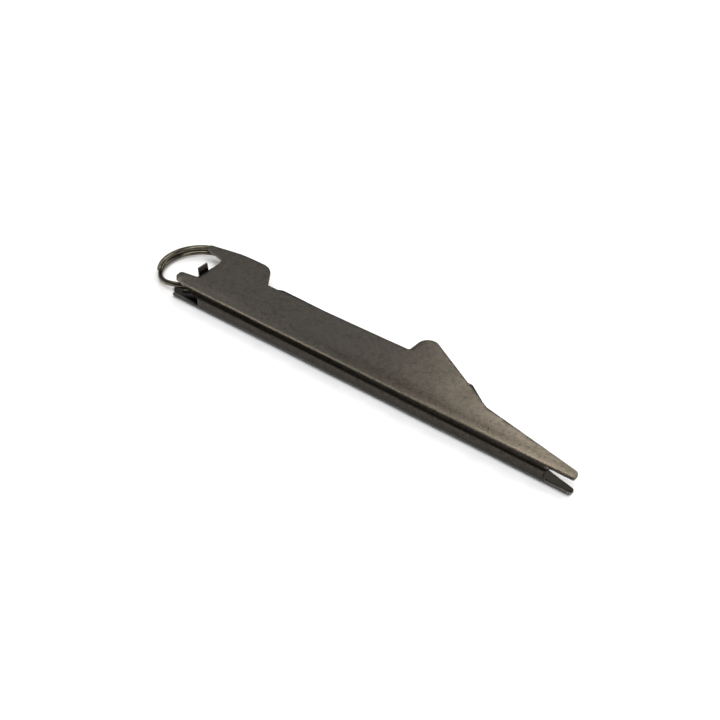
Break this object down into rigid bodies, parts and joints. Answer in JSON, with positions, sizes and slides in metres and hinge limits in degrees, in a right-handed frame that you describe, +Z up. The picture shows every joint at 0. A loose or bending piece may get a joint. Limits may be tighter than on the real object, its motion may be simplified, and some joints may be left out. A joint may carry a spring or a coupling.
{
  "type": "line knotting tool",
  "caption": "Pocket line-knotting tool: thin steel strip folded into a channel with lobed leaves and a forked tip, carrying a split ring.",
  "frame": {"origin": "centre of the whole tool's box, at the table it lies on", "axes": "+X from the split ring to the forked tip, +Y from the spine to the lobes, +Z up from the table"},
  "size_m": [0.0818, 0.0134, 0.0041],
  "materials": {
    "strip": "black oxide, satin",
    "ring": "black nickel plate, bright"
  },
  "bodies": {
    "folded_strip": {"lower_leaf": "strip", "tongue": "strip", "spine": "strip"},
    "upper_leaf": {"upper_leaf": "strip"},
    "split_ring": {"split_ring": "ring"}
  },
  "joints": [
    {"name": "leaf_squeeze", "type": "hinge", "parent": "folded_strip", "child": "upper_leaf", "pos_m": [0.00257, -0.00552, 0.0029], "axis": [-1, 0, 0], "range_deg": [0, 2.5], "stiffness_Nm_per_rad": 0.05},
    {"name": "ring_swing", "type": "hinge", "parent": "folded_strip", "child": "split_ring", "pos_m": [-0.03128, -0.00127, 0.0016], "axis": [0, 0, 1], "range_deg": [-18, 18]}
  ]
}
